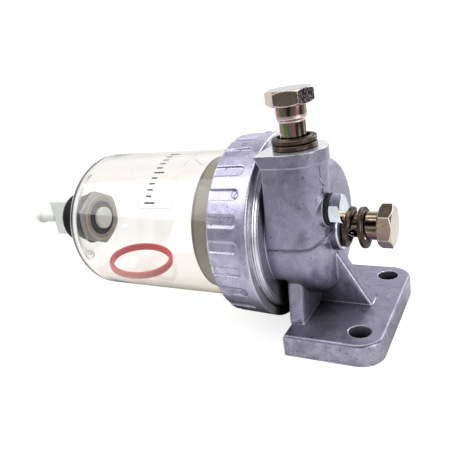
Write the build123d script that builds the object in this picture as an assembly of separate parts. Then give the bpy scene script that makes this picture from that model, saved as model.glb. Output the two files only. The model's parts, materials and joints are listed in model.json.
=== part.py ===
from build123d import *
import os
from math import cos, pi, radians, sin, sqrt, tan

# A diesel fuel and water separator, in millimetres.
# The mounting face is the plane Z = 0, and the origin is midway between its two bolt holes.
# The clear bowl's axis runs along X above it. The bowl points to -X, the outlet port to +X,
# and the inlet port opens upwards.

# Clearances
RUN = 0.08          # radial room round a thread or a shaft
SEAT = 0.05         # room between flat faces that part or turn
LOOSE = 0.3         # room round a piece that hangs or rests loosely

# Small edges, and how far one form runs into or past another where they are joined or cut
EDGE = 0.25
EASE = 0.6
LEAD = 1.0
BITE = 1.0
DRILL_POINT = 2.0
SMALL = 0.01
QUARTER = 1 - sqrt(0.5)     # how far a quarter arc's middle lies from the sides of its corner

# Driving size, and the foot plate under it
BOWL_R = 40.2
AXIS_Z = 52.8
HOLE_SPACING = 58.8
HOLE_R = 5.4
PLATE_T = 11.2
PLATE_SIDE = 12.0
PLATE_LEFT = 34.4
PLATE_RIGHT = 11.5
PLATE_EDGE = 1.6

# The clamp ring's end nearest the head, from which the head's places are taken
RING_X = -43.0
COLLAR_OUT = 2.6
COLLAR_IN = 11.0
COLLAR_X = RING_X + COLLAR_OUT
RIM_X = RING_X - COLLAR_IN

# Bowl and its gasket
BOWL_WALL = 2.3
BOWL_BORE_R = BOWL_R - BOWL_WALL
BOWL_LIP = 2.6
BOWL_FLANGE_R = BOWL_R + BOWL_LIP
BOWL_FLANGE_T = 4.2
GASKET_T = 2.2
GASKET_INSET = 1.2
BOWL_LENGTH = 111.8
DOME_X = RING_X - BOWL_LENGTH
DOME_DEPTH = 20.6
BOWL_END_OUT = 3.4
BOWL_END_X = DOME_X - DOME_DEPTH - BOWL_END_OUT
BOWL_END_WALL = 2.9
BOWL_END_R = 19.6
DRAIN_HOLE_R = 11.0

# Head casting
COLLAR_R = BOWL_FLANGE_R + 2 * LOOSE
COLLAR_BEVEL = 2.2
COLLAR_GROOVE = 0.8
DRUM_INSET = 6.1
DRUM_R = BOWL_R - DRUM_INSET
DRUM_LENGTH = 26.1
DRUM_END_X = RING_X + DRUM_LENGTH
DRUM_CORNER = 6.5
DRUM_WALL = 5.6
RELIEF_DROP = 18.0
RELIEF_DEPTH = 3.6
CAVITY_R = BOWL_R - BOWL_WALL + LOOSE
CAVITY_DEPTH = 9.5
CAVITY_FLOOR_X = RIM_X + CAVITY_DEPTH
CHAMBER_WALL = 8.1
CHAMBER_R = DRUM_R - CHAMBER_WALL
HUB_R = 11.0
HUB_STEP = 1.5
PASSAGE_R = 5.0

# Inlet boss and pad. The boss is as near to the drum's side as its round end allows.
PORT_FROM_RING = 17.45
PORT_X = RING_X + PORT_FROM_RING
BOSS_R = 14.54
PORT_Y = BOSS_R - DRUM_R
BOSS_LEAN = 3.5
BOSS_LENGTH = 11.25
BOSS_LEFT_X = PORT_X - BOSS_LENGTH
BOSS_LEFT_LEAN = 2.6
BOSS_STEP = 0.5
PAD_HEIGHT = 45.0
PAD_Z = AXIS_Z + PAD_HEIGHT
PAD_T = 6.0
PAD_LIP = 0.5
PAD_OVERHANG = 3.3
PAD_LEFT_X = BOSS_LEFT_X - PAD_OVERHANG
PORT_DEPTH = 31.0
THREAD_DEPTH = 25.0

# Outlet and bleed bosses
OUTLET_BOSS_R = 12.6
OUTLET_BOSS_OUT = 4.5
OUTLET_FACE_X = DRUM_END_X + OUTLET_BOSS_OUT
BLEED_Y = PORT_Y
BLEED_RISE = 15.55
BLEED_Z = AXIS_Z + BLEED_RISE
BLEED_BOSS_OUT = 3.9
BLEED_FACE_X = DRUM_END_X + BLEED_BOSS_OUT
BLEED_BOSS_R = 8.3
BLEED_FLARE = 1.4
BLEED_FLARE_T = 4.0
BLEED_DEPTH = 12.0
BLEED_HOLE_R = 1.6

# Web and gusset of the foot
WEB_GAP = 6.0
WEB_X = COLLAR_X + WEB_GAP
WEB_T = 7.0
WEB_ROUND = 2.0
WEB_TOP_DROP = 20.0
WEB_HALF_TOP = 27.0
WEB_HALF_FOOT = 30.5
GUSSET_T = 9.0
GUSSET_TOE = 34.0
GUSSET_TOP = 16.2
GUSSET_TOP_DROP = 10.5

# Clamp ring
RING_LENGTH = 21.7
RING_WALL = 4.62
RING_BORE_R = COLLAR_R + RUN
RING_R = RING_BORE_R + RING_WALL
RING_DRAFT = 0.15 * RING_WALL
RING_CHAMFER = 0.26 * RING_WALL
RING_LIP_T = 4.2
GRIP_COUNT = 24
GRIP_PHASE = 8.0
GRIP_SHARE = 0.415          # of the pitch round the ring, the rest being rib
GRIP_WIDTH = GRIP_SHARE * 2 * pi * RING_R / GRIP_COUNT
GRIP_LENGTH = 0.75 * RING_LENGTH
GRIP_DEPTH = 0.24 * RING_WALL
GRIP_ROUND = 0.38 * GRIP_WIDTH

# Baffle
BAFFLE_ROOM = 3.5
BAFFLE_R = BOWL_BORE_R - BAFFLE_ROOM
BAFFLE_T = 1.2
BAFFLE_GAP = 3.0
BAFFLE_X = CAVITY_FLOOR_X - BAFFLE_GAP
BAFFLE_LENGTH = 32.7
BAFFLE_END_X = BAFFLE_X - BAFFLE_LENGTH
BAFFLE_SLEEVE = 6.0
HUB_END_X = BAFFLE_X - BAFFLE_SLEEVE
BAFFLE_BEAD = 0.8

# Float ring, which lies on the bowl's lower wall with one side up on the dome
FLOAT_R = 0.52 * BOWL_R
FLOAT_WALL = 2.4
FLOAT_H = 4.2
FLOAT_FROM_DOME = 8.8
FLOAT_X = DOME_X + FLOAT_FROM_DOME
FLOAT_TILT = 8.8
FLOAT_LIFT = 0.8
FLOAT_DROP = sqrt(BOWL_BORE_R**2 - FLOAT_R**2) - FLOAT_H / 2 - FLOAT_LIFT

# Drain
DRAIN_GASKET_T = 1.5
DRAIN_BODY_R = 16.6
DRAIN_BODY_T = 14.2
DRAIN_BODY_CROWN = 5.0
DRAIN_RIM = 2.6
DRAIN_STEM_R = DRAIN_HOLE_R - LOOSE
DRAIN_NUT_AF = 31.0
DRAIN_NUT_T = 4.2
NUT_GROOVE_R = 15.0
NUT_GROOVE_W = 1.7
NUT_GROOVE_DEPTH = 1.0
NUT_SEAL_RISE = 0.5
COCK_R = 6.9
COCK_REACH = 10.2
COCK_END_X = BOWL_END_X + COCK_REACH
COCK_DIMPLE = 1.0
WING_FROM_BOWL = 17.6
WING_LENGTH = 17.4
WING_RIGHT_X = BOWL_END_X - WING_FROM_BOWL
WING_LEFT_X = WING_RIGHT_X - WING_LENGTH
WING_W = 24.0
WING_T = 7.0
NOZZLE_R = 4.1
NOZZLE_LENGTH = 13.4
NOZZLE_BORE_R = 1.9
BALL_X = WING_LEFT_X - NOZZLE_LENGTH
BALL_R = 5.1
O_RING_R = 0.65
O_RING_ROOM = 0.1
O_RING_FROM_BOWL = 5.4
O_RING_X = BOWL_END_X + O_RING_FROM_BOWL
COCK_CROSS_SETBACK = 4.0
COCK_CROSS_X = O_RING_X - COCK_CROSS_SETBACK

# Hollow bolts of the inlet and the outlet
BOLT_R = 6.95
BOLT_AF = 19.0
BOLT_HEAD_T = 6.8
BOLT_COLLAR = 6.8
BOLT_NECK = 10.5
BOLT_STEP = 0.9
BOLT_NECK_R = BOLT_R - BOLT_STEP
BOLT_LENGTH = 30.0
BOLT_BORE_R = 4.0
BOLT_BORE_DEPTH = 19.0
BOLT_CROSS_R = 2.2
INLET_LIFT = 19.5
INLET_TURN = 12.0
INLET_CROSS_TURN = 108.0
OUTLET_LIFT = 17.6
OUTLET_TURN = -11.0
OUTLET_CROSS_TURN = 31.0
HEX_FACE_INSET = 0.2
HEX_BEVEL_ANGLE = 30.0

# Bonded washers
WASHER_R = 10.3
WASHER_T = 2.0
WASHER_HOLE_R = BOLT_R + 2 * LOOSE
BEAD_T = 2.7
BEAD_W = 1.0
OUTLET_WASHER_PLACES = (2.6, 10.0)
OUTLET_WASHER_LEANS = (9.0, -5.0)

# Bleed plug and its seal
BLEED_AF = 13.0
BLEED_HEAD_T = 5.2
BLEED_THREAD_R = 3.95
BLEED_THREAD = 6.5
BLEED_SEAL_R = 7.5
BLEED_SEAL_T = 2.0


def on_axis(shape):
    return Pos(0, 0, AXIS_Z) * shape


def turned_x(*points):
    """A solid turned about the X axis from (x, radius) points."""
    return revolve(Plane.XZ * make_face(Polyline(*points, close=True)), Axis.X)


def turned_z(*points):
    """A solid turned about the Z axis from (radius, z) points."""
    return revolve(Plane.XZ * make_face(Polyline(*points, close=True)), Axis.Z)


def rod_x(radius, x_from, x_to):
    """A cylinder along X between two places."""
    return Pos((x_from + x_to) / 2, 0, 0) * Rot(Y=90) * Cylinder(radius, abs(x_to - x_from))


def hexagon_z(across_flats, height):
    """A hexagonal head standing on Z = 0, with its corners turned off at 30 degrees."""
    corner = across_flats / sqrt(3)
    face = across_flats / 2 - HEX_FACE_INSET
    bevel = (corner - face) * tan(radians(HEX_BEVEL_ANGLE))
    prism = extrude(RegularPolygon(corner, 6), height)
    envelope = turned_z(
        (0, 0),
        (face, 0),
        (corner, bevel),
        (corner, height - bevel),
        (face, height),
        (0, height),
    )
    return prism & envelope


def boss_outline(left_x, centre_x, radius):
    """The inlet boss seen from above: a bar with one round end."""
    near_y = PORT_Y - radius
    far_y = PORT_Y + radius
    outline = [
        Line((centre_x, far_y), (left_x, far_y)),
        Line((left_x, far_y), (left_x, near_y)),
        Line((left_x, near_y), (centre_x, near_y)),
        ThreePointArc((centre_x, near_y), (centre_x + radius, PORT_Y), (centre_x, far_y)),
    ]
    return make_face(outline)


def foot_plate():
    length = PLATE_LEFT + PLATE_RIGHT
    width = HOLE_SPACING + 2 * PLATE_SIDE
    plate = Pos((PLATE_RIGHT - PLATE_LEFT) / 2, 0, PLATE_T / 2) * Box(length, width, PLATE_T)
    corners = plate.edges().filter_by(Axis.Z)
    plate = fillet(corners.sort_by(Axis.X)[-2:], PLATE_RIGHT)
    plate = fillet(plate.faces().sort_by(Axis.Z)[-1].edges(), PLATE_EDGE)
    hole = Cylinder(HOLE_R, 3 * PLATE_T)
    return plate - [Pos(0, side * HOLE_SPACING / 2, 0) * hole for side in (-1, 1)]


def foot_web():
    """The wall across the plate that carries the drum, with the gusset that stands behind it."""
    foot_z = PLATE_T - BITE
    top_z = AXIS_Z - WEB_TOP_DROP
    seen_along = make_face(
        Polyline(
            (-WEB_HALF_FOOT, foot_z),
            (-WEB_HALF_TOP, top_z),
            (-WEB_HALF_TOP / 2, AXIS_Z),
            (WEB_HALF_TOP / 2, AXIS_Z),
            (WEB_HALF_TOP, top_z),
            (WEB_HALF_FOOT, foot_z),
            close=True,
        )
    )
    wall = extrude(Plane.YZ.offset(WEB_X) * seen_along, WEB_T)
    upright = wall.edges().filter_by(lambda e: e.center().Z < top_z and e.center().X > WEB_X + SMALL)
    wall = fillet(upright.filter_by(lambda e: abs(e.center().Y) > WEB_HALF_TOP), WEB_ROUND)
    gusset_face = make_face(
        Polyline(
            (WEB_X + BITE, foot_z),
            (WEB_X + GUSSET_TOE, foot_z),
            (WEB_X + GUSSET_TOE, PLATE_T),
            (WEB_X + GUSSET_TOP, AXIS_Z - GUSSET_TOP_DROP),
            (WEB_X + BITE, AXIS_Z - GUSSET_TOP_DROP),
            close=True,
        )
    )
    gusset = extrude(Plane.XZ * gusset_face, GUSSET_T / 2, both=True)
    slope = gusset.faces().filter_by(lambda f: min(f.normal_at().X, f.normal_at().Z) > SMALL)[0]
    gusset = fillet(slope.edges().filter_by(lambda e: e.length > 2 * GUSSET_T), WEB_ROUND)
    return wall + gusset


def head_casting():
    end_x = DRUM_END_X
    outline = [
        Polyline(
            (RIM_X, 0),
            (RIM_X, COLLAR_R),
            (RING_X - COLLAR_GROOVE, COLLAR_R),
            (RING_X, COLLAR_R - COLLAR_GROOVE),
            (COLLAR_X - COLLAR_BEVEL, COLLAR_R - COLLAR_GROOVE / 2),
            (COLLAR_X, COLLAR_R - COLLAR_BEVEL),
            (COLLAR_X, DRUM_R),
            (end_x - DRUM_CORNER, DRUM_R),
        ),
        RadiusArc((end_x - DRUM_CORNER, DRUM_R), (end_x, DRUM_R - DRUM_CORNER), DRUM_CORNER),
        Polyline((end_x, DRUM_R - DRUM_CORNER), (end_x, 0), (RIM_X, 0)),
    ]
    body = on_axis(revolve(Plane.XZ * make_face(outline), Axis.X))
    low = boss_outline(BOSS_LEFT_X - BOSS_LEFT_LEAN, PORT_X - BOSS_LEAN, BOSS_R)
    high = boss_outline(BOSS_LEFT_X, PORT_X, BOSS_R)
    body += loft([Plane.XY.offset(AXIS_Z - BOSS_STEP) * low, Plane.XY.offset(PAD_Z - PAD_T) * high])
    pad_low = boss_outline(BOSS_LEFT_X, PORT_X, BOSS_R + PAD_LIP)
    pad_high = boss_outline(PAD_LEFT_X, PORT_X, BOSS_R + PAD_LIP)
    body += loft([Plane.XY.offset(PAD_Z - PAD_T) * pad_low, Plane.XY.offset(PAD_Z) * pad_high])
    body += on_axis(
        turned_x(
            (DRUM_END_X - BITE, 0),
            (DRUM_END_X - BITE, OUTLET_BOSS_R),
            (OUTLET_FACE_X - EASE, OUTLET_BOSS_R),
            (OUTLET_FACE_X, OUTLET_BOSS_R - EASE),
            (OUTLET_FACE_X, 0),
        )
    )
    body += Pos(0, BLEED_Y, BLEED_Z) * turned_x(
        (PORT_X + BITE, 0),
        (PORT_X + BITE, BLEED_BOSS_R + BLEED_FLARE),
        (BLEED_FACE_X - LEAD - BLEED_FLARE_T, BLEED_BOSS_R + BLEED_FLARE),
        (BLEED_FACE_X - LEAD, BLEED_BOSS_R),
        (BLEED_FACE_X, BLEED_BOSS_R),
        (BLEED_FACE_X, 0),
    )
    body -= under_relief()
    body += foot_web()
    body += foot_plate()
    return body - head_passages()


def under_relief():
    """The room under the drum, between the collar and the web."""
    band = rod_x(COLLAR_R, COLLAR_X, WEB_X) - rod_x(DRUM_R - RELIEF_DEPTH, COLLAR_X, WEB_X)
    middle_x = (COLLAR_X + WEB_X) / 2
    below = Pos(middle_x, 0, -RELIEF_DROP - COLLAR_R / 2) * Box(WEB_GAP, 2 * COLLAR_R, COLLAR_R)
    return on_axis(band & below)


def head_passages():
    """Everything that is cored or drilled out of the casting."""
    floor_x = DRUM_END_X - DRUM_WALL
    hub = turned_x(
        (floor_x + BITE, 0),
        (floor_x + BITE, HUB_R + HUB_STEP),
        (BAFFLE_X, HUB_R + HUB_STEP),
        (BAFFLE_X, HUB_R),
        (HUB_END_X, HUB_R),
        (HUB_END_X, 0),
    )
    cavity = on_axis(rod_x(CAVITY_R, RIM_X - BITE, CAVITY_FLOOR_X) - hub)
    chamber = on_axis(rod_x(CHAMBER_R, CAVITY_FLOOR_X - BITE, floor_x) - hub)
    outlet = on_axis(
        turned_x(
            (OUTLET_FACE_X + BITE, 0),
            (OUTLET_FACE_X + BITE, BOLT_R + RUN),
            (OUTLET_FACE_X - THREAD_DEPTH, BOLT_R + RUN),
            (OUTLET_FACE_X - THREAD_DEPTH - DRILL_POINT, PASSAGE_R),
            (RIM_X - BITE, PASSAGE_R),
            (RIM_X - BITE, 0),
        )
    )
    inlet = Pos(PORT_X, PORT_Y, PAD_Z) * turned_z(
        (0, BITE),
        (BOLT_R + RUN, BITE),
        (BOLT_R + RUN, -THREAD_DEPTH),
        (PASSAGE_R, -THREAD_DEPTH - DRILL_POINT),
        (PASSAGE_R, -PORT_DEPTH),
        (0, -PORT_DEPTH),
    )
    bleed = Pos(0, BLEED_Y, BLEED_Z) * turned_x(
        (BLEED_FACE_X + BITE, 0),
        (BLEED_FACE_X + BITE, BLEED_THREAD_R + RUN),
        (BLEED_FACE_X - BLEED_THREAD - EASE, BLEED_THREAD_R + RUN),
        (BLEED_FACE_X - BLEED_THREAD - DRILL_POINT, BLEED_HOLE_R),
        (BLEED_FACE_X - BLEED_DEPTH, BLEED_HOLE_R),
        (BLEED_FACE_X - BLEED_DEPTH, 0),
    )
    bleed_seat = rod_x(BLEED_BOSS_R + LOOSE, BLEED_FACE_X, BLEED_FACE_X + 2 * BLEED_FLARE)
    return [cavity, chamber, outlet, inlet, bleed, Pos(0, BLEED_Y, BLEED_Z) * bleed_seat]


def clamp_ring():
    far_x = RING_X - RING_LENGTH
    lip_x = far_x + RING_LIP_T
    lip_r = BOWL_R + 2 * LOOSE
    ring = turned_x(
        (far_x, lip_r),
        (far_x, RING_R - RING_DRAFT - RING_CHAMFER),
        (far_x + RING_CHAMFER, RING_R - RING_DRAFT),
        (RING_X, RING_R),
        (RING_X, RING_BORE_R + EASE),
        (RING_X - EASE, RING_BORE_R),
        (lip_x, RING_BORE_R),
        (lip_x, lip_r),
    )
    length = GRIP_LENGTH + GRIP_ROUND
    slot = Rectangle(length, GRIP_WIDTH)
    slot = fillet(slot.vertices().sort_by(Axis.X)[-2:], GRIP_ROUND)
    tool = extrude(slot, RING_R)
    tool = Pos(far_x - GRIP_ROUND + length / 2, 0, RING_R - RING_DRAFT / 2 - GRIP_DEPTH) * tool
    step = 360 / GRIP_COUNT
    return on_axis(ring - [Rot(X=GRIP_PHASE + step * i) * tool for i in range(GRIP_COUNT)])


def dome_line(radius, depth):
    """A quarter of an ellipse from the straight wall to the axis."""
    return EllipticalCenterArc((DOME_X, 0), depth, radius, start_angle=90, arc_size=90)


def bowl():
    flange_x = RIM_X - GASKET_T - SEAT
    wall_x = flange_x - BOWL_FLANGE_T
    outer = revolve(
        Plane.XZ
        * make_face(
            [
                Polyline(
                    (DOME_X - DOME_DEPTH, 0),
                    (flange_x, 0),
                    (flange_x, BOWL_FLANGE_R),
                    (wall_x, BOWL_FLANGE_R),
                    (wall_x, BOWL_R),
                    (DOME_X, BOWL_R),
                ),
                dome_line(BOWL_R, DOME_DEPTH),
            ]
        ),
        Axis.X,
    )
    inner = revolve(
        Plane.XZ
        * make_face(
            [
                Polyline(
                    (DOME_X - DOME_DEPTH + BOWL_WALL, 0),
                    (flange_x + BITE, 0),
                    (flange_x + BITE, BOWL_BORE_R),
                    (DOME_X, BOWL_BORE_R),
                ),
                dome_line(BOWL_BORE_R, DOME_DEPTH - BOWL_WALL),
            ]
        ),
        Axis.X,
    )
    boss_r = BOWL_END_R + BOWL_WALL
    boss_root_x = DOME_X - DOME_DEPTH / 2
    boss = turned_x(
        (BOWL_END_X, 0),
        (BOWL_END_X, boss_r - LEAD),
        (BOWL_END_X + LEAD, boss_r),
        (boss_root_x, boss_r),
        (boss_root_x, 0),
    )
    recess = rod_x(BOWL_END_R, BOWL_END_X + BOWL_END_WALL, DOME_X)
    hole = rod_x(DRAIN_HOLE_R, BOWL_END_X - BITE, DOME_X)
    return on_axis(outer + boss - inner - recess - hole)


def bowl_gasket():
    return on_axis(
        turned_x(
            (RIM_X - GASKET_T, BOWL_BORE_R + GASKET_INSET),
            (RIM_X - GASKET_T, BOWL_FLANGE_R),
            (RIM_X, BOWL_FLANGE_R),
            (RIM_X, BOWL_BORE_R + GASKET_INSET),
        )
    )


def baffle():
    """A thin pressed skirt, open to the bowl, with a sleeve that sits on the head's hub."""
    sleeve_r = HUB_R + RUN
    skirt = turned_x(
        (BAFFLE_X, sleeve_r),
        (BAFFLE_X, BAFFLE_R - LEAD),
        (BAFFLE_X - LEAD, BAFFLE_R),
        (BAFFLE_END_X + 2 * BAFFLE_BEAD, BAFFLE_R),
        (BAFFLE_END_X + BAFFLE_BEAD, BAFFLE_R + BAFFLE_BEAD),
        (BAFFLE_END_X, BAFFLE_R),
        (BAFFLE_END_X, BAFFLE_R - BAFFLE_T),
        (BAFFLE_X - BAFFLE_T, BAFFLE_R - BAFFLE_T),
        (BAFFLE_X - BAFFLE_T, sleeve_r + BAFFLE_T),
        (HUB_END_X, sleeve_r + BAFFLE_T),
        (HUB_END_X, sleeve_r),
    )
    return on_axis(skirt)


def float_ring():
    """A thin tube, tilted where the dome lifts its far side."""
    tube = Cylinder(FLOAT_R, FLOAT_H) - Cylinder(FLOAT_R - FLOAT_WALL, 2 * FLOAT_H)
    tube = fillet(tube.edges(), EASE)
    return Pos(FLOAT_X, 0, AXIS_Z - FLOAT_DROP) * Rot(Y=FLOAT_TILT) * tube


def drain_gasket():
    outer_x = BOWL_END_X - DRAIN_GASKET_T
    disc = rod_x(DRAIN_BODY_R - DRAIN_GASKET_T, outer_x, BOWL_END_X)
    return on_axis(disc - rod_x(DRAIN_STEM_R + RUN, outer_x, BOWL_END_X))


def drain_body():
    """The outer cap with its threaded stem, which the inner nut pulls against the bowl."""
    seat_x = BOWL_END_X - DRAIN_GASKET_T
    end_x = seat_x - DRAIN_BODY_T
    stem_x = BOWL_END_X + BOWL_END_WALL + DRAIN_NUT_T + EASE
    crown_x = end_x + DRAIN_BODY_CROWN
    flat_r = COCK_R + DRAIN_RIM
    profile = [
        Polyline((end_x, 0), (end_x, flat_r)),
        ThreePointArc(
            (end_x, flat_r),
            (end_x + QUARTER * DRAIN_BODY_CROWN, DRAIN_BODY_R - QUARTER * (DRAIN_BODY_R - flat_r)),
            (crown_x, DRAIN_BODY_R),
        ),
        Polyline(
            (crown_x, DRAIN_BODY_R),
            (seat_x - LEAD, DRAIN_BODY_R),
            (seat_x, DRAIN_BODY_R - LEAD),
            (seat_x, DRAIN_STEM_R),
            (stem_x, DRAIN_STEM_R),
            (stem_x, 0),
            (end_x, 0),
        ),
    ]
    body = revolve(Plane.XZ * make_face(profile), Axis.X)
    return on_axis(body - rod_x(COCK_R + RUN, end_x - BITE, stem_x + BITE))


def drain_nut():
    seat_x = BOWL_END_X + BOWL_END_WALL
    nut = Pos(seat_x, 0, 0) * Rot(Y=90) * hexagon_z(DRAIN_NUT_AF, DRAIN_NUT_T)
    face_x = seat_x + DRAIN_NUT_T
    nut -= rod_x(DRAIN_STEM_R + RUN, seat_x - BITE, face_x + BITE)
    groove = rod_x(NUT_GROOVE_R, face_x - NUT_GROOVE_DEPTH, face_x + BITE)
    groove -= rod_x(NUT_GROOVE_R - NUT_GROOVE_W, face_x - NUT_GROOVE_DEPTH, face_x + BITE)
    return on_axis(nut - groove)


def drain_nut_seal():
    """The ring set into the nut's face."""
    floor_x = BOWL_END_X + BOWL_END_WALL + DRAIN_NUT_T - NUT_GROOVE_DEPTH
    face_x = floor_x + NUT_GROOVE_DEPTH
    outer_r = NUT_GROOVE_R - RUN
    inner_r = NUT_GROOVE_R - NUT_GROOVE_W + RUN
    middle_r = (outer_r + inner_r) / 2
    profile = [
        Polyline((face_x, inner_r), (floor_x, inner_r), (floor_x, outer_r), (face_x, outer_r)),
        ThreePointArc((face_x, outer_r), (face_x + NUT_SEAL_RISE, middle_r), (face_x, inner_r)),
    ]
    return on_axis(revolve(Plane.XZ * make_face(profile), Axis.X))


def drain_cock():
    """Plug, wing grip and hose nozzle, moulded in one."""
    groove_right_x = O_RING_X + O_RING_R + O_RING_ROOM
    groove_left_x = O_RING_X - O_RING_R - O_RING_ROOM
    groove_r = COCK_R - 2 * O_RING_R
    plug = turned_x(
        (COCK_END_X - COCK_DIMPLE, 0),
        (COCK_END_X, COCK_DIMPLE),
        (COCK_END_X, COCK_R - EASE),
        (COCK_END_X - EASE, COCK_R),
        (groove_right_x, COCK_R),
        (groove_right_x, groove_r),
        (groove_left_x, groove_r),
        (groove_left_x, COCK_R),
        (WING_RIGHT_X - BITE, COCK_R),
        (WING_RIGHT_X - BITE, 0),
    )
    wing_x = (WING_LEFT_X + WING_RIGHT_X) / 2
    wing = Pos(wing_x, 0, 0) * Box(WING_RIGHT_X - WING_LEFT_X, WING_T, WING_W)
    wing = fillet(wing.edges().filter_by(Axis.X), 2 * EASE)
    wing = fillet(wing.faces().sort_by(Axis.X)[0].edges(), EASE)
    nozzle = rod_x(NOZZLE_R, BALL_X, WING_LEFT_X + BITE)
    ball = Pos(BALL_X, 0, 0) * Sphere(BALL_R)
    bore = rod_x(NOZZLE_BORE_R, BALL_X - 2 * BALL_R, COCK_CROSS_X)
    cross = Pos(COCK_CROSS_X, 0, 0) * Cylinder(NOZZLE_BORE_R, 4 * COCK_R)
    return on_axis(plug + wing + nozzle + ball - bore - cross)


def drain_o_ring():
    middle_r = COCK_R - O_RING_R + RUN / 2
    return on_axis(Pos(O_RING_X, 0, 0) * Rot(Y=90) * Torus(middle_r, O_RING_R - SEAT))


def hollow_bolt(cross_turn):
    """A banjo bolt hanging down -Z from its head's underside at Z = 0. cross_turn turns its cross hole."""
    head = hexagon_z(BOLT_AF, BOLT_HEAD_T)
    shank = turned_z(
        (0, BITE),
        (BOLT_R, BITE),
        (BOLT_R, BOLT_STEP - BOLT_COLLAR),
        (BOLT_NECK_R, -BOLT_COLLAR),
        (BOLT_NECK_R, -BOLT_COLLAR - BOLT_NECK),
        (BOLT_R, -BOLT_COLLAR - BOLT_NECK - BOLT_STEP),
        (BOLT_R, LEAD - BOLT_LENGTH),
        (BOLT_R - LEAD, -BOLT_LENGTH),
        (0, -BOLT_LENGTH),
    )
    cross_z = -BOLT_COLLAR - BOLT_NECK / 2
    bore = Pos(0, 0, -BOLT_LENGTH + BOLT_BORE_DEPTH / 2) * Cylinder(BOLT_BORE_R, BOLT_BORE_DEPTH)
    cross = Pos(0, 0, cross_z) * Rot(Z=cross_turn) * Rot(X=90) * Cylinder(BOLT_CROSS_R, 3 * BOLT_R)
    return head + shank - bore - cross


def inlet_bolt():
    return Pos(PORT_X, PORT_Y, PAD_Z + INLET_LIFT) * Rot(Z=INLET_TURN) * hollow_bolt(INLET_CROSS_TURN)


def outlet_bolt():
    bolt = Rot(Y=90) * Rot(Z=OUTLET_TURN) * hollow_bolt(OUTLET_CROSS_TURN)
    return on_axis(Pos(OUTLET_FACE_X + OUTLET_LIFT, 0, 0) * bolt)


def bonded_washer():
    """A flat metal ring with a thicker rubber bead moulded round its hole."""
    bead_r = WASHER_HOLE_R + BEAD_W
    return turned_z(
        (WASHER_HOLE_R, -BEAD_T / 2),
        (bead_r - EDGE, -BEAD_T / 2),
        (bead_r, -WASHER_T / 2),
        (WASHER_R - EDGE, -WASHER_T / 2),
        (WASHER_R, EDGE - WASHER_T / 2),
        (WASHER_R, WASHER_T / 2 - EDGE),
        (WASHER_R - EDGE, WASHER_T / 2),
        (bead_r, WASHER_T / 2),
        (bead_r - EDGE, BEAD_T / 2),
        (WASHER_HOLE_R, BEAD_T / 2),
    )


def inlet_washer(level):
    """Two of them lie on the pad, one on the other."""
    return Pos(PORT_X, PORT_Y, PAD_Z + (level + 0.5) * BEAD_T) * bonded_washer()


def outlet_washer(index):
    """They hang on the bolt's neck, each leaning its own way."""
    lean = OUTLET_WASHER_LEANS[index]
    tipped_hole_r = (WASHER_HOLE_R - BEAD_T / 2 * sin(abs(radians(lean)))) * cos(radians(lean))
    drop = tipped_hole_r - BOLT_NECK_R - LOOSE
    place = Pos(OUTLET_FACE_X + OUTLET_WASHER_PLACES[index], 0, -drop)
    return on_axis(place * Rot(Y=90 + lean) * bonded_washer())


def bleed_plug():
    head = hexagon_z(BLEED_AF, BLEED_HEAD_T)
    thread = turned_z(
        (0, BITE),
        (BLEED_THREAD_R, BITE),
        (BLEED_THREAD_R, EASE - BLEED_THREAD - BLEED_SEAL_T),
        (BLEED_THREAD_R - EASE, -BLEED_THREAD - BLEED_SEAL_T),
        (0, -BLEED_THREAD - BLEED_SEAL_T),
    )
    seat_x = BLEED_FACE_X + BLEED_SEAL_T + SEAT
    return Pos(seat_x, BLEED_Y, BLEED_Z) * Rot(Y=90) * (head + thread)


def bleed_seal():
    hole_r = BLEED_THREAD_R + RUN
    ring = turned_x(
        (BLEED_FACE_X, hole_r),
        (BLEED_FACE_X, BLEED_SEAL_R - EDGE),
        (BLEED_FACE_X + EDGE, BLEED_SEAL_R),
        (BLEED_FACE_X + BLEED_SEAL_T - EDGE, BLEED_SEAL_R),
        (BLEED_FACE_X + BLEED_SEAL_T, BLEED_SEAL_R - EDGE),
        (BLEED_FACE_X + BLEED_SEAL_T, hole_r),
    )
    return Pos(0, BLEED_Y, BLEED_Z) * ring


PARTS = {
    "head_casting": head_casting,
    "clamp_ring": clamp_ring,
    "bowl": bowl,
    "bowl_gasket": bowl_gasket,
    "baffle": baffle,
    "float_ring": float_ring,
    "drain_gasket": drain_gasket,
    "drain_body": drain_body,
    "drain_nut": drain_nut,
    "drain_nut_seal": drain_nut_seal,
    "drain_cock": drain_cock,
    "drain_o_ring": drain_o_ring,
    "inlet_bolt": inlet_bolt,
    "inlet_washer_lower": lambda: inlet_washer(0),
    "inlet_washer_upper": lambda: inlet_washer(1),
    "outlet_bolt": outlet_bolt,
    "outlet_washer_inner": lambda: outlet_washer(0),
    "outlet_washer_outer": lambda: outlet_washer(1),
    "bleed_plug": bleed_plug,
    "bleed_seal": bleed_seal,
}

os.makedirs("parts", exist_ok=True)
for name, make in PARTS.items():
    export_step(make(), f"parts/{name}.step")
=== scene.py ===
import json
import math

import bpy
from mathutils import Matrix, Vector
from mathutils.bvhtree import BVHTree


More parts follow.
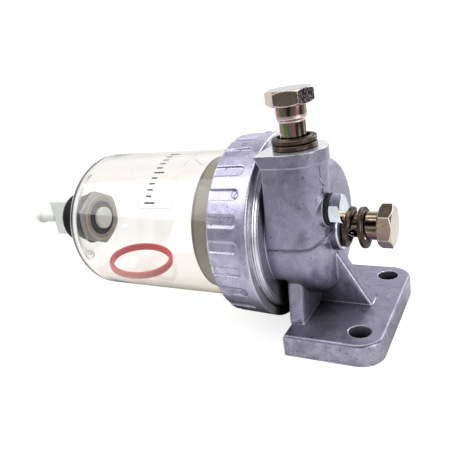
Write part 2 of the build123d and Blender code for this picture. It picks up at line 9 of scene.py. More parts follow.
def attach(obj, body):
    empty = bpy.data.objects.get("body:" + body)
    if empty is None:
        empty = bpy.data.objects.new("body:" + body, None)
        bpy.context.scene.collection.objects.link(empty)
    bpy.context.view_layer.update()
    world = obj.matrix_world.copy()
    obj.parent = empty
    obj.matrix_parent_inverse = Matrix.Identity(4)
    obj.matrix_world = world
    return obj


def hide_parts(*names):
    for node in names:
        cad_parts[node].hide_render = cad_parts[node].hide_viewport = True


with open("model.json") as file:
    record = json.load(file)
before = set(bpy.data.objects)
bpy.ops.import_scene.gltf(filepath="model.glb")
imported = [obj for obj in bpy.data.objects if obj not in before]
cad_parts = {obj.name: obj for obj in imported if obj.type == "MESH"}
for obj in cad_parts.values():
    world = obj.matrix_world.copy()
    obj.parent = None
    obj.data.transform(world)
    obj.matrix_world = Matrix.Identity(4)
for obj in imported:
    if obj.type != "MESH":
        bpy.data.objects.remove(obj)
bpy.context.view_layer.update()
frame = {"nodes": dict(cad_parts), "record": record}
nodes = frame["nodes"]

MM = 0.001

# Places of the object's main features, in millimetres in the part's own frame
AXIS_Z = 52.8
FOOT_T = 11.2
RING_X = -43.0
RING_R = 48.1
RING_LEFT_X = RING_X - 21.7
COLLAR_X = RING_X + 2.6
COLLAR_R = 43.4
PAD_Z = 97.8
BOSS_RUNOUT = (-21.5, -33.0, 60.5)
OUTLET_FACE_X = RING_X + 30.6
OUTLET_BOSS_R = 12.6
OUTLET_END_X = 12.0
INLET_TOP_Z = 124.1
BOLT_HEAD_T = 6.8
BOWL_R = 40.2
BOWL_WALL = 2.3
DOME_X = RING_X - 111.8
DOME_DEPTH = 20.6
DOME_END_R = 33.0
BOWL_END_X = DOME_X - DOME_DEPTH - 3.4
BOWL_SEAT_R = 17.5
BOWL_SEAT_T = 2.9
BOWL_SEAT_CORNER = (BOWL_END_X + 0.6, 22.5)
BOWL_HOLE_R = 11.0
BOWL_MOUTH_X = RING_X - 13.25
BOWL_LIP_X = BOWL_MOUTH_X - 4.2
BOWL_LIP_R = 42.8
BOWL_LIP_FILLET = 0.6

# The camera
CAMERA_PLACE = (65.9, -237.0, 149.8)
CAMERA_AZIMUTH = 31.85
CAMERA_ELEVATION = 19.6
CAMERA_ROLL = -9.8
CAMERA_LENS = 42.06
CAMERA_SENSOR = 36


# Materials

# The casting's purplish grey where it is stained, plain and rubbed, and its marks; its pale edge tone is
# partly wear and partly a painted highlight
CAST_TONES = ((0.255, 0.243, 0.335), (0.315, 0.302, 0.405), (0.385, 0.372, 0.485))
SCRATCH_TONE = (0.66, 0.65, 0.74)
FOOT_PATCH_TONE = (0.49, 0.48, 0.57)
PORE_TONE = (0.09, 0.085, 0.11)
EDGE_WEAR_AND_HIGHLIGHT_TONE = (0.86, 0.85, 0.94)
CUT_TONES = ((0.66, 0.65, 0.75), (0.80, 0.79, 0.87))

# The painted shade line above the parting seam on the head's near side: its height at x = 0 and its slope,
# where it starts to climb, and the y and x where it ends. Its painted shade goes by the height above the seam
SEAM_Z = 53.7
SEAM_SLOPE = 0.043
SEAM_CLIMB_X = -18.8
SEAM_CLIMB = 0.42
SEAM_FRONT_Y = -20.0
SEAM_END_X = -13.2
SEAM_SHADE = ((0.1, 1.0), (0.5, 0.35), (0.8, 0.5), (1.5, 1.0))

# The collar's turned steps: the width of their band, and painted shade at the root of each, as a share of
# that width.
# Its fine turned lines go by the sine of the radius times COLLAR_LINES
COLLAR_BAND = 4.4
COLLAR_STEP_SHADE = (
    (0.2, 1.0),
    (0.25, 0.3),
    (0.29, 1.0),
    (0.49, 1.0),
    (0.53, 0.2),
    (0.57, 1.0),
    (0.73, 1.0),
    (0.77, 0.25),
    (0.81, 1.0),
)
COLLAR_LINES = 9.0

# What is added to the radius of the head's corners: on the web, by height, and round the boss's run-out,
# by distance
WEB_EXTRA = 1.6
WEB_HEIGHTS = ((12, 0.0), (14, 1.0), (34, 1.0), (37, 0.0))
RUNOUT_EXTRA = 4.6
RUNOUT_FADE = ((7.2, 1.0), (14.4, 0.0))

# The plated bolts: plain faces, bands along the neck that are partly the coat's colours and partly painted
# dark reflections, a painted pale pink highlight on the edges, and dark pits
ZINC_PLAIN = ((0.35, (0.42, 0.34, 0.22)), (0.5, (0.54, 0.44, 0.33)), (0.62, (0.56, 0.42, 0.36)))
ZINC_COAT_AND_REFLECTION_BANDS = (
    (0.36, (0.07, 0.05, 0.04)),
    (0.42, (0.40, 0.33, 0.20)),
    (0.47, (0.62, 0.27, 0.36)),
    (0.53, (0.20, 0.32, 0.13)),
    (0.58, (0.48, 0.40, 0.22)),
    (0.65, (0.08, 0.06, 0.05)),
)
ZINC_COLLAR = (0.95, 0.74, 0.74)
ZINC_COLLAR_HEIGHTS = ((109.7, 0.0), (109.9, 0.9), (112.4, 0.8), (113.2, 0.0))
ZINC_EDGE_HIGHLIGHT = (0.95, 0.76, 0.76)
ZINC_PIT = (0.05, 0.04, 0.035)
ZINC_SCALE = ((0.12, 0.10, 0.10), (0.7, 0.64, 0.64))

# The clear bowl: its wall, its lower half, its rim seen edge on, and the amber that its thickness adds
BOWL_HAZE = ((0.96, 0.955, 0.955), (0.985, 0.982, 0.985))
BOWL_LOW_TINT = (0.95, 0.89, 0.80)
BOWL_RIM_TINT = (0.42, 0.37, 0.24)
BOWL_DEPTH_TINT = (0.72, 0.5, 0.1)
BOWL_DEPTH_DENSITY = 14.0


def as_colour(value):
    """A colour as it is, or a grey from a plain number."""
    return value if isinstance(value, tuple) else (value,) * 3


class Nodes:
    """A node tree, with a few short words for the nodes that every finish here uses."""

    def __init__(self, tree):
        self.tree = tree

    def fill(self, socket, value):
        """Links an output to a socket, or sets a plain number or colour on it."""
        if isinstance(value, bpy.types.NodeSocket):
            self.tree.links.new(value, socket)
        elif socket.type == "RGBA":
            socket.default_value = (*as_colour(value), 1.0)
        else:
            socket.default_value = value

    def node(self, kind, inputs=(), output=0, **settings):
        made = self.tree.nodes.new(kind)
        for key, value in settings.items():
            setattr(made, key, value)
        for socket, value in dict(inputs).items():
            self.fill(made.inputs[socket], value)
        return made.outputs[output]

    def maths(self, operation, *values):
        return self.node("ShaderNodeMath", enumerate(values), operation=operation)

    def chain(self, operation, first, *others):
        """One operation over all the values in turn."""
        for value in others:
            first = self.maths(operation, first, value)
        return first

    def both(self, *masks):
        """Where all the masks are."""
        return self.chain("MULTIPLY", *masks)

    def either(self, *masks):
        """Where any of the masks is."""
        return self.chain("MAXIMUM", *masks)

    def above(self, value, limit):
        return self.maths("GREATER_THAN", value, limit)

    def below(self, value, limit):
        return self.maths("LESS_THAN", value, limit)

    def length(self, *parts):
        """The length of a vector from its parts."""
        squares = [self.maths("MULTIPLY", part, part) for part in parts]
        return self.maths("SQRT", self.chain("ADD", *squares))

    def toward(self, vector, direction):
        """The cosine of the angle between two directions."""
        return self.node("ShaderNodeVectorMath", {0: vector, 1: direction}, 1, operation="DOT_PRODUCT")

    def ramp(self, value, *stops):
        """A colour ramp. Each stop is a place and a grey or a colour."""
        made = self.tree.nodes.new("ShaderNodeValToRGB")
        elements = made.color_ramp.elements
        while len(elements) < len(stops):
            elements.new(0.5)
        for element, (place, colour) in zip(elements, stops):
            element.position = place
            element.color = (*as_colour(colour), 1.0)
        self.tree.links.new(value, made.inputs[0])
        return made.outputs[0]

    def share(self, value, start, end):
        """How far the value is from start to end, between 0 and 1."""
        return self.node("ShaderNodeMapRange", {0: value, 1: start, 2: end})

    def grade(self, value, start, end, *stops):
        """A colour ramp from start to end, with each stop placed by the value itself."""
        placed = [((place - start) / (end - start), colour) for place, colour in stops]
        return self.ramp(self.share(value, start, end), *placed)

    def mix(self, factor, a, b, blend="MIX"):
        """From a to b by the factor. Either may be an output, a colour or a grey."""
        inputs = {0: factor, 6: a, 7: b}
        return self.node("ShaderNodeMix", inputs, 2, data_type="RGBA", blend_type=blend)

    def times(self, colour, shade, amount=1.0):
        """The colour darkened by a shade."""
        return self.mix(amount, colour, shade, "MULTIPLY")

    def light_path(self):
        return self.tree.nodes.new("ShaderNodeLightPath").outputs


class Surface(Nodes):
    """A material, with the words that need its shader or the piece's own coordinates."""

    def __init__(self, name):
        self.name = name
        self.material = bpy.data.materials.new(name)
        self.material.use_nodes = True
        super().__init__(self.material.node_tree)
        self.shader = self.tree.nodes["Principled BSDF"]
        self.coords = self.tree.nodes.new("ShaderNodeTexCoord").outputs["Object"]

    def put(self, socket, value):
        self.fill(self.shader.inputs[socket], value)

    def stretched(self, x, y, z):
        return self.node("ShaderNodeMapping", {"Vector": self.coords, "Scale": (x, y, z)})

    def noise(self, scale, detail, rough, distortion=0.0, coords=None):
        inputs = {
            "Vector": coords or self.coords,
            "Scale": scale,
            "Detail": detail,
            "Roughness": rough,
            "Distortion": distortion,
        }
        return self.node("ShaderNodeTexNoise", inputs)

    def bump(self, height, distance, strength, normal=None):
        inputs = {"Height": height, "Distance": distance * MM, "Strength": strength}
        if normal is not None:
            inputs["Normal"] = normal
        return self.node("ShaderNodeBump", inputs)

    def rounded(self, radius):
        """The surface's direction with its sharp edges and creases rounded. The radius may be an output."""
        if isinstance(radius, bpy.types.NodeSocket):
            radius = self.maths("MULTIPLY", radius, MM)
        else:
            radius *= MM
        return self.node("ShaderNodeBevel", {"Radius": radius}, samples=8)

    def direction(self):
        return self.node("ShaderNodeNewGeometry", output=1)

    def edges(self, rounded):
        """Where a sharp edge is near: 1 on it and 0 away from it."""
        return self.ramp(self.toward(rounded, self.direction()), (0.93, 1.0), (0.995, 0.0))

    def open_sky(self, reach):
        """How open the place is: 1 on an outer face and 0 deep in a crease."""
        return self.node("ShaderNodeAmbientOcclusion", {"Distance": reach * MM}, 1, samples=8)

    def axis_values(self):
        """The place's x, y and z, and the distance from the bowl's axis, in millimetres."""
        parts = self.tree.nodes.new("ShaderNodeSeparateXYZ")
        self.fill(parts.inputs[0], self.coords)
        x, y, z = (self.maths("MULTIPLY", parts.outputs[i], 1 / MM) for i in range(3))
        return x, y, z, self.length(y, self.maths("SUBTRACT", z, AXIS_Z))

    def by_height(self, *stops):
        """A ramp by the height above the foot's mounting face, in millimetres and under 100."""
        return self.grade(self.axis_values()[2], 0, 100, *stops)

    def normal_part(self, axis):
        parts = self.tree.nodes.new("ShaderNodeSeparateXYZ")
        self.fill(parts.inputs[0], self.direction())
        return parts.outputs[axis]


def cast_metal(name, machined, rough, tone=1.0, corner=0.9, edge_wear_and_highlight=(0.45, 1.0), head=False):
    """Satin die-cast aluminium with mottling, stains and scratches.

    machined gives the mask of its cut faces. rough is the roughness where it is smooth and where it is dull,
    and edge_wear_and_highlight how much its edges are worn and painted bright as a highlight. The head has
    marks of its own.
    """
    s = Surface(name)
    mask = machined(s)
    coarse = foot_sides(s) if head else None
    colour = cast_colour(s, tone)
    bright = s.ramp(s.noise(300, 5, 0.6), (0.35, CUT_TONES[0]), (0.6, CUT_TONES[1]))
    if head:
        colour = head_marks(s, colour, coarse)
        bright = s.times(bright, collar_step_shade(s))
    rounded = s.rounded(corner)
    # Edges are lightened, partly as wear and partly as a painted highlight, most on the foot
    patchy = s.ramp(s.noise(160, 4, 0.6), (0.36, edge_wear_and_highlight[0]), (0.6, edge_wear_and_highlight[1]))
    worn_and_highlit = s.both(s.edges(rounded), patchy, s.by_height((12, 1.0), (20, 0.5)))
    colour = s.mix(mask, s.mix(worn_and_highlit, colour, EDGE_WEAR_AND_HIGHLIGHT_TONE), bright)

    # Painted shade in the creases, deep inside and on faces that look down
    near = s.ramp(s.open_sky(5.0), (0.1, 0.45), (0.5, 1.0))
    deep = s.ramp(s.open_sky(22.0), (0.16, 0.003), (0.3, 0.3), (0.42, 1.0))
    lit = s.either(deep, s.by_height((50, 0.0), (60, 0.7)))
    under = s.grade(s.normal_part(2), -1, 1, (-0.76, 0.2), (-0.4, 1.0))
    crease_shaded = s.mix(s.maths("MULTIPLY", mask, 0.8), s.times(colour, near), colour)
    s.put("Base Color", s.times(crease_shaded, s.both(under, lit)))
    s.put("Metallic", 0.75)
    grain = s.ramp(s.noise(260, 5, 0.6), (0.3, rough[0]), (0.7, rough[1]))
    s.put("Roughness", s.either(s.mix(mask, grain, 0.2), s.maths("SUBTRACT", 1.0, lit)))

    if head:
        rounded = s.rounded(soft_corners(s, corner))
    lumps = s.bump(s.noise(120, 4, 0.5), 0.1, s.maths("SUBTRACT", 1.0, mask), rounded)
    if head:
        lumps = head_relief(s, lumps, coarse)
    s.put("Normal", s.bump(s.noise(1500, 3, 0.6), 0.035, s.mix(mask, 1.0, 0.3), lumps))
    return s


def cast_colour(s, tone):
    """The casting's colour before wear: mottling, stains, fine specks, dark spots and scratches."""
    dark, middle, pale = (tuple(tone * c for c in colour) for colour in CAST_TONES)
    colour = s.ramp(s.noise(110, 8, 0.66, 0.6), (0.3, dark), (0.5, middle), (0.72, pale))
    colour = s.times(colour, s.ramp(s.noise(42, 6, 0.66, 1.6), (0.34, 0.7), (0.47, 1.0)))
    colour = s.times(colour, s.ramp(s.noise(1300, 3, 0.6), (0.3, 0.62), (0.45, 1.0)), 0.7)
    colour = s.times(colour, s.ramp(s.noise(420, 3, 0.6, 0.5), (0.29, 0.3), (0.34, 1.0)))
    scratches = s.noise(30, 2, 0.5, 0.3, s.stretched(30, 1.2, 4))
    return s.mix(s.ramp(scratches, (0.70, 0.0), (0.715, 0.7), (0.73, 0.0)), colour, SCRATCH_TONE)


def head_marks(s, colour, coarse):
    """The head's own marks: patches and pores on the foot's rough edge, and a painted shade line above its
    seam.
    """
    patches = s.ramp(s.noise(150, 5, 0.7), (0.44, 0.1), (0.6, 0.7))
    colour = s.mix(s.both(coarse, patches), colour, FOOT_PATCH_TONE)
    pores = s.ramp(s.noise(900, 3, 0.6), (0.36, 0.5), (0.42, 0.0))
    colour = s.mix(s.both(coarse, pores), colour, PORE_TONE)
    return s.times(colour, seam_shade_line(s))


def head_relief(s, lumps, coarse):
    """The foot's rough edge and the fine turned lines of the collar."""
    lumps = s.bump(s.noise(420, 5, 0.7), 0.3, coarse, lumps)
    x, _, _, radius = s.axis_values()
    turned = s.both(s.below(x, COLLAR_X + 0.1), s.above(radius, COLLAR_R - 8.0))
    return s.bump(s.maths("SINE", s.maths("MULTIPLY", radius, COLLAR_LINES)), 0.06, turned, lumps)


def foot_sides(s):
    """The foot's edge all round and the walls of its holes."""
    low = s.below(s.axis_values()[2], FOOT_T - 0.3)
    upright = s.ramp(s.maths("ABSOLUTE", s.normal_part(2)), (0.3, 1.0), (0.5, 0.0))
    return s.both(low, upright)


def seam_shade_line(s):
    """A painted shade line just above the parting seam on the head's near side: 1 away from it."""
    x, y, z, _ = s.axis_values()
    level = s.maths("MULTIPLY_ADD", x, SEAM_SLOPE, SEAM_Z)
    climb = s.maths("MULTIPLY", s.either(s.maths("SUBTRACT", x, SEAM_CLIMB_X), 0.0), SEAM_CLIMB)
    above = s.maths("SUBTRACT", z, s.maths("ADD", level, climb))
    line = s.grade(above, -2.5, 2.5, *SEAM_SHADE)
    near_side = s.both(s.below(y, SEAM_FRONT_Y), s.below(x, SEAM_END_X), s.above(x, COLLAR_X + 1.5))
    return s.mix(near_side, 1.0, line)


def soft_corners(s, corner):
    """The radius of the head's corners: larger on the web, and where the boss leaves the drum's end."""
    x, y, z, _ = s.axis_values()
    away = [s.maths("SUBTRACT", value, centre) for value, centre in zip((x, y, z), BOSS_RUNOUT)]
    wide = s.maths("MULTIPLY_ADD", s.grade(s.length(*away), 0, 16, *RUNOUT_FADE), RUNOUT_EXTRA, corner)
    return s.maths("MULTIPLY_ADD", s.grade(z, 0, 50, *WEB_HEIGHTS), WEB_EXTRA, wide)


def collar_step_shade(s):
    """Painted shade at the roots of the turned steps on the collar: 1 away from them."""
    x, _, _, radius = s.axis_values()
    shade = s.ramp(s.share(radius, COLLAR_R - COLLAR_BAND, COLLAR_R), *COLLAR_STEP_SHADE)
    return s.mix(s.below(x, COLLAR_X + 0.1), 1.0, shade)


def head_cut_faces(s):
    """The pad's top, the collar, the outlet's face and the foot's underside."""
    x, _, z, radius = s.axis_values()
    pad = s.above(z, PAD_Z - 0.1)
    collar = s.both(s.below(x, COLLAR_X + 0.1), s.above(radius, COLLAR_R - 3.0))
    outlet = s.both(s.above(x, OUTLET_FACE_X - 0.7), s.below(radius, OUTLET_BOSS_R + 0.2))
    sole = s.below(z, 0.1)
    return s.either(pad, collar, outlet, sole)


def ring_cut_faces(s):
    """The ring's two ends."""
    x = s.axis_values()[0]
    return s.either(s.below(x, RING_LEFT_X + 1.1), s.above(x, RING_X - 0.3))


def yellow_zinc(name, squeeze, end_tone):
    """Turned steel with a yellow passivated coat that shifts between gold, pink and green along the bolt.

    squeeze is the noise's stretch along the bolt, and end_tone is the colour of the head's end.
    """
    s = Surface(name)
    x, _, z, _ = s.axis_values()
    plain = s.ramp(s.noise(45, 2, 0.5, 0.8), *ZINC_PLAIN)
    # Bands along the bolt: partly the coat's colours, partly painted dark reflections
    coat_and_reflection_bands = s.ramp(s.noise(230, 2, 0.5, 0.4, s.stretched(*squeeze)), *ZINC_COAT_AND_REFLECTION_BANDS)
    upper = s.above(z, INLET_TOP_Z - BOLT_HEAD_T)
    head = s.either(upper, s.above(x, OUTLET_END_X - BOLT_HEAD_T))
    end = s.either(s.above(z, INLET_TOP_Z - 0.3), s.above(x, OUTLET_END_X - 0.3))
    tint = s.mix(end, s.mix(head, coat_and_reflection_bands, plain), end_tone)

    # The inlet bolt's pink collar, which is duller than the rest
    collar = s.grade(z, 107.9, 117.9, *ZINC_COLLAR_HEIGHTS)
    tint = s.mix(collar, tint, ZINC_COLLAR)
    rounded = s.rounded(0.7)
    # A painted pale pink highlight along the bolts' edges
    colour = s.mix(s.maths("MULTIPLY", s.edges(rounded), 0.85), tint, ZINC_EDGE_HIGHLIGHT)
    pits = s.ramp(s.noise(1500, 3, 0.6), (0.36, 0.85), (0.41, 0.0))
    pitted = s.both(pits, s.ramp(s.noise(90, 2, 0.5), (0.48, 0.1), (0.56, 1.0)))
    colour = s.mix(pitted, colour, ZINC_PIT)

    # One face of the inlet bolt's head is scaly and dark
    scaly = s.both(upper, s.ramp(s.normal_part(0), (0.8, 0.0), (0.9, 1.0)))
    flakes = s.noise(1500, 2, 0.5)
    colour = s.mix(scaly, colour, s.mix(s.ramp(flakes, (0.57, 0.0), (0.63, 0.7)), *ZINC_SCALE))
    # Painted shade in the creases of the bolts
    s.put("Base Color", s.times(colour, s.ramp(s.open_sky(3.0), (0.1, 0.25), (0.5, 1.0))))
    s.put("Metallic", 1.0)
    s.put("Roughness", s.mix(collar, s.ramp(s.noise(240, 4, 0.6), (0.3, 0.05), (0.7, 0.14)), 0.4))
    rugged = s.bump(s.ramp(flakes, (0.54, 0.0), (0.6, 1.0)), 0.1, scaly, rounded)
    s.put("Normal", s.bump(s.noise(700, 3, 0.6), 0.02, 0.5, rugged))
    return s


def bright_zinc(name):
    """The bleed plug's bright, bluish plating."""
    s = Surface(name)
    s.put("Base Color", s.ramp(s.noise(200, 4, 0.6), (0.35, (0.74, 0.79, 0.87)), (0.65, (0.92, 0.94, 0.98))))
    s.put("Metallic", 1.0)
    s.put("Roughness", s.ramp(s.noise(300, 4, 0.6), (0.3, 0.04), (0.7, 0.12)))
    s.put("Normal", s.bump(s.noise(600, 3, 0.6), 0.02, 0.6))
    return s


def bonded_metal(name):
    """The washers: brown metal rims, and faces coated with black rubber."""
    s = Surface(name)
    flat_x, flat_z = (s.maths("ABSOLUTE", s.normal_part(axis)) for axis in (0, 2))
    outlet = s.above(s.axis_values()[0], OUTLET_FACE_X - 0.1)
    face = s.ramp(s.mix(outlet, flat_z, flat_x), (0.85, 0.0), (0.95, 1.0))
    metal = s.ramp(s.noise(260, 5, 0.6), (0.3, (0.05, 0.033, 0.024)), (0.7, (0.16, 0.11, 0.078)))
    s.put("Base Color", s.mix(face, metal, (0.022, 0.017, 0.018)))
    s.put("Metallic", s.mix(face, 0.75, 0.0))
    s.put("Roughness", s.mix(face, s.ramp(s.noise(500, 4, 0.6), (0.3, 0.2), (0.7, 0.36)), 0.5))
    s.put("Normal", s.bump(s.noise(900, 3, 0.6), 0.02, 0.7))
    return s


def clear_bowl(name):
    """Clear moulded plastic: faintly amber, with soft flow lines."""
    s = Surface(name)
    haze = s.ramp(s.noise(25, 3, 0.5), (0.3, BOWL_HAZE[0]), (0.7, BOWL_HAZE[1]))
    tinted = s.mix(s.by_height((14, 0.5), (42, 0.0)), haze, BOWL_LOW_TINT)
    slant = s.node("ShaderNodeLayerWeight", {"Blend": 0.5}, 1)
    s.put("Base Color", s.mix(s.ramp(slant, (0.7, 0.0), (0.93, 0.85)), tinted, BOWL_RIM_TINT))
    s.put("Roughness", s.ramp(s.noise(150, 3, 0.5), (0.4, 0.0), (0.8, 0.012)))
    s.put("Transmission Weight", 1.0)
    s.put("IOR", 1.45)
    s.put("Normal", s.bump(s.noise(18, 2, 0.4, 0.4), 0.2, 0.08))
    depth = s.node("ShaderNodeVolumeAbsorption", {"Color": BOWL_DEPTH_TINT, "Density": BOWL_DEPTH_DENSITY})
    s.tree.links.new(depth, s.tree.nodes["Material Output"].inputs["Volume"])
    return s


def moulded(name, dark, light, rough=(0.4, 0.55), scatter=0.0, shine=0.5):
    """Moulded plastic or rubber, with a slight play of tone and a fine grain."""
    s = Surface(name)
    s.put("Base Color", s.ramp(s.noise(120, 5, 0.6), (0.3, dark), (0.7, light)))
    s.put("Roughness", s.ramp(s.noise(400, 3, 0.6), (0.3, rough[0]), (0.7, rough[1])))
    s.put("Normal", s.bump(s.noise(1100, 3, 0.6), 0.02, 0.8))
    s.put("Specular IOR Level", shine)
    if scatter:
        s.put("Subsurface Weight", scatter)
        s.put("Subsurface Radius", (0.004, 0.003, 0.003))
    return s


def milky(name):
    """The cock's pale, slightly see-through nylon."""
    s = moulded(name, (0.82, 0.86, 0.81), (0.93, 0.95, 0.91), rough=(0.25, 0.4), scatter=0.3)
    s.put("Transmission Weight", 0.12)
    s.put("IOR", 1.5)
    return s


# The looks of plain mouldings: dark and light tone, and what differs from the usual
MOULDED = {
    "black_rubber": ((0.01, 0.01, 0.012), (0.024, 0.024, 0.028), {"rough": (0.45, 0.6), "shine": 0.25}),
    "olive_nylon": ((0.235, 0.215, 0.15), (0.3, 0.275, 0.2), {"rough": (0.4, 0.5)}),
    "red_plastic": ((0.68, 0.035, 0.05), (0.76, 0.045, 0.06), {"rough": (0.4, 0.5), "shine": 0.1}),
    "black_plastic": ((0.006, 0.006, 0.009), (0.014, 0.014, 0.02), {"rough": (0.4, 0.5), "shine": 0.08}),
    "grey_plastic": ((0.25, 0.24, 0.262), (0.34, 0.33, 0.35), {"rough": (0.25, 0.4)}),
    "tan_rubber": ((0.46, 0.38, 0.22), (0.58, 0.5, 0.32), {}),
    "print_black": ((0.02, 0.02, 0.02), (0.05, 0.05, 0.05), {}),
}
SURFACES = [
    cast_metal("cast_aluminium", head_cut_faces, (0.25, 0.38), head=True),
    cast_metal("ring_aluminium", ring_cut_faces, (0.2, 0.34), tone=1.55, corner=1.5, edge_wear_and_highlight=(0.1, 0.45)),
    clear_bowl("clear_amber"),
    milky("pale_green_plastic"),
    yellow_zinc("yellow_zinc_steel", (1.0, 1.0, 0.1), (0.39, 0.38, 0.41)),
    yellow_zinc("yellow_zinc_outlet", (0.1, 1.0, 1.0), (0.56, 0.51, 0.40)),
    bonded_metal("bonded_washer"),
    bright_zinc("blue_zinc_steel"),
    *(moulded(name, dark, light, **others) for name, (dark, light, others) in MOULDED.items()),
]
MATERIALS = {surface.name: surface.material for surface in SURFACES}

# The look of each node: its material slot's, except for these two
LOOK_OF = {part["node"]: part["material_slot"] for part in frame["record"]["subparts"]}
LOOK_OF.update(clamp_ring="ring_aluminium", outlet_bolt="yellow_zinc_outlet")


def dress_nodes():
    for name, piece in nodes.items():
        for slot in piece.material_slots:
            slot.material = MATERIALS[LOOK_OF[name]]
        for face in piece.data.polygons:
            face.use_smooth = True
        piece.data.set_sharp_from_angle(angle=math.radians(NODE_SHARP))


# Meshes

BOWL_SIDES = 180

# The angles, in degrees, from which an edge stays sharp
NODE_SHARP = 32
SHELL_SHARP = 40

# The casting's seam and cracks of flash, as x and z on the head's near side, with a ridge's width and height
SEAM = ((-39.6, 52.0), (-33.0, 51.9), (-24.0, 52.4), (-18.8, 52.9), (-15.9, 53.6), (-13.3, 55.2))
SEAM_RIDGE = (1.1, 0.45)
CRACKS = (((-12.5, 90.5), (-12.8, 85.3)), ((-13.2, 85.1), (-12.4, 80.4)))
CRACK_RIDGE = (1.0, 0.5)

# The bowl's mould lines, as x and the angle round the axis, with a ridge's width and height.
# The first is a square insert's edge, the others are two arcs
INSERT_EDGE = ((-114.0, 54.0), (-110.6, 30.0), (-89.8, 30.0), (-89.8, 54.0))
INSERT_RIDGE = (0.16, 0.025)
ARCS = (((-89.9, 65.6), (-90.0, 74.4), (-89.0, 83.8), (-87.2, 96.9)), ((-87.4, 76.0), (-78.3, 66.4)))
ARC_RIDGE = (0.22, 0.05)

# The printed ticks: where the column starts, the angle from one to the next, their number, a tick's sizes,
# and how far its print's top and foot stand off the wall
TICK_X = -107.0
TICK_FIRST = 34
TICK_STEP = 5.2
TICK_COUNT = 11
TICK_WIDTH = 0.9375
TICK_LONG = 6.5
TICK_SHORT = 3.6
PRINT_TOP = 0.06
PRINT_FOOT = 0.01
BOX_FACES = ((0, 1, 3, 2), (4, 6, 7, 5), (0, 2, 6, 4), (1, 5, 7, 3), (0, 4, 5, 1), (2, 3, 7, 6))

# The marks of ejector pins on the ring: place along the ring, depth under its rim, angle and radius,
# and how often both repeat round it
RING_PINS = ((-11.6, 0.37, 14.5, 1.5), (-6.7, 0.2, 37.0, 1.9))
RING_PIN_REPEATS = 6

# The bowl's gate mark: its place and angle, and the radius, height and width of its two rings
GATE_X = RING_X - 106.0
GATE_ANGLE = -8
GATE_RINGS = ((3.4, 0.3, 2.0), (1.7, 0.25, 1.8))


def new_piece(name, verts, faces, body, look, smooth=True):
    """A mesh from points in millimetres, riding on a body."""
    mesh = bpy.data.meshes.new(name)
    mesh.from_pydata([tuple(MM * c for c in v) for v in verts], [], faces)
    piece = bpy.data.objects.new(name, mesh)
    bpy.context.collection.objects.link(piece)
    for face in mesh.polygons:
        face.use_smooth = smooth
    mesh.materials.append(MATERIALS[look])
    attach(piece, body)
    return piece


def joined_piece(name, parts, body, look, smooth=True):
    """One piece of several meshes, each given by its points and faces."""
    verts, faces = [], []
    for points, sides in parts:
        faces += [[len(verts) + corner for corner in face] for face in sides]
        verts += points
    return new_piece(name, verts, faces, body, look, smooth)


def tube_faces(rows, sides, closed):
    """Faces between rows of points that each go round. closed joins the last row to the first."""
    faces = []
    for row in range(rows if closed else rows - 1):
        other = (row + 1) % rows
        for side in range(sides):
            near = (side + 1) % sides
            faces.append([row * sides + side, row * sides + near, other * sides + near, other * sides + side])
    return faces


def on_cylinder(x, radius, angle):
    """A point round the bowl's axis. The angle is in degrees, up from the side that faces -Y."""
    turn = math.radians(angle)
    return (x, -radius * math.cos(turn), AXIS_Z + radius * math.sin(turn))


def outward(place):
    """The direction from the bowl's axis to a place."""
    return (0, place[1], place[2] - AXIS_Z)


def dome_line(start_r, end_r, count):
    """Points of the dome's line, as x and distance from the axis, between two such distances."""
    turns = [math.acos(r / BOWL_R) for r in (start_r, end_r)]
    points = []
    for step in range(count + 1):
        turn = turns[0] + (turns[1] - turns[0]) * step / count
        points.append((DOME_X - DOME_DEPTH * math.sin(turn), BOWL_R * math.cos(turn)))
    return points


def swept_corner(start, corner, end, count):
    """Points of a smooth curve from start to end that heads for the corner."""
    points = []
    for step in range(1, count):
        t = step / count
        weights = ((1 - t) ** 2, 2 * t * (1 - t), t * t)
        points.append(tuple(sum(w * p[i] for w, p in zip(weights, (start, corner, end))) for i in range(2)))
    return points


def bowl_inside(outer, seat):
    """The inner line beside the outer one, with the wall growing from the bowl's to the seat's thickness."""
    inner = []
    for index, (x, r) in enumerate(outer):
        after = (outer + [seat])[index + 1]
        before = outer[index - 1] if index else (x + 1.0, r)
        ahead = (Vector(after) - Vector(before)).normalized()
        thick = BOWL_WALL + (BOWL_SEAT_T - BOWL_WALL) * index / len(outer)
        inner.append((x - ahead.y * thick, r + ahead.x * thick))
    return inner


def bowl_shell():
    """The bowl as it was moulded, with its corners rounded and its dome run smoothly into the flat seat."""
    seat = (BOWL_END_X, BOWL_SEAT_R)
    outer = dome_line(BOWL_R, DOME_END_R, 20)
    outer += swept_corner(outer[-1], BOWL_SEAT_CORNER, seat, 16)
    inner = bowl_inside(outer, seat)
    outer += [seat, (BOWL_END_X, BOWL_HOLE_R)]
    inner += [(BOWL_END_X + BOWL_SEAT_T, BOWL_SEAT_R), (BOWL_END_X + BOWL_SEAT_T, BOWL_HOLE_R)]
    corner = (BOWL_LIP_X, BOWL_R)
    foot = (BOWL_LIP_X, BOWL_R + BOWL_LIP_FILLET)
    body = (BOWL_LIP_X - BOWL_LIP_FILLET, BOWL_R)
    lip = [(BOWL_MOUTH_X, BOWL_R - BOWL_WALL), (BOWL_MOUTH_X, BOWL_LIP_R), (BOWL_LIP_X, BOWL_LIP_R), foot]
    lip += swept_corner(foot, corner, body, 4) + [body]
    line = inner[::-1] + lip + outer
    verts = [on_cylinder(x, r, 360.0 * side / BOWL_SIDES) for x, r in line for side in range(BOWL_SIDES)]
    faces = tube_faces(len(line), BOWL_SIDES, closed=True)
    shell = new_piece("bowl_shell", verts, faces, "bowl", "clear_amber")
    shell.data.set_sharp_from_angle(angle=math.radians(SHELL_SHARP))
    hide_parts("bowl")


